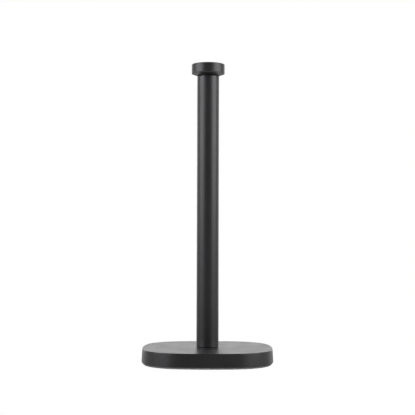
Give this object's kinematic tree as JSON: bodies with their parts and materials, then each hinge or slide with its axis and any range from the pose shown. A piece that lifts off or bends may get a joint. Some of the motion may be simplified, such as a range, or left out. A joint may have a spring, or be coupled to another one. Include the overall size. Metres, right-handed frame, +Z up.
{
  "type": "paper towel holder",
  "caption": "Free-standing paper towel holder: a weighted rounded-square base, an upright round post and a screw-on disc finial.",
  "frame": {"origin": "on the surface it stands on, on the post's axis", "axes": "+Z up along the post, X and Y square to the base's sides"},
  "size_m": [0.1408, 0.1408, 0.321],
  "materials": {
    "black_coating": "satin powder coat",
    "cast_iron": "as cast",
    "foam": "closed-cell foam",
    "plate_paint": "matt",
    "zinc_steel": "zinc plated",
    "plug_steel": "turned",
    "black_rubber": "matt",
    "black_nylon": "matt"
  },
  "bodies": {
    "stand": {"base_cover": "black_coating", "post_tube": "black_coating", "base_weight": "cast_iron", "foam_liner": "foam", "base_plate": "plate_paint", "weight_screws": "zinc_steel", "plate_screws": "zinc_steel", "post_bolt": "zinc_steel", "spring_washer": "zinc_steel", "flat_washer": "zinc_steel", "lower_plug": "plug_steel", "upper_plug": "plug_steel", "post_gasket": "black_rubber", "foot_front_left": "black_rubber", "foot_front_right": "black_rubber", "foot_back_left": "black_rubber", "foot_back_right": "black_rubber"},
    "washer": {"finial_washer": "black_nylon"},
    "finial": {"finial_knob": "black_coating", "finial_stud": "zinc_steel"}
  },
  "joints": [
    {"name": "finial_turn", "type": "hinge", "parent": "stand", "child": "washer", "pos_m": [0, 0, 0.3082], "axis": [0, 0, 1], "range_deg": [0, 3241]},
    {"name": "finial_rise", "type": "slide", "parent": "washer", "child": "finial", "axis": [0, 0, 1], "range_m": [0, 0.01125]}
  ],
  "couplings": [
    {"joint": "finial_turn", "follows": "finial_rise", "rad_per_m": 5026.5}
  ]
}
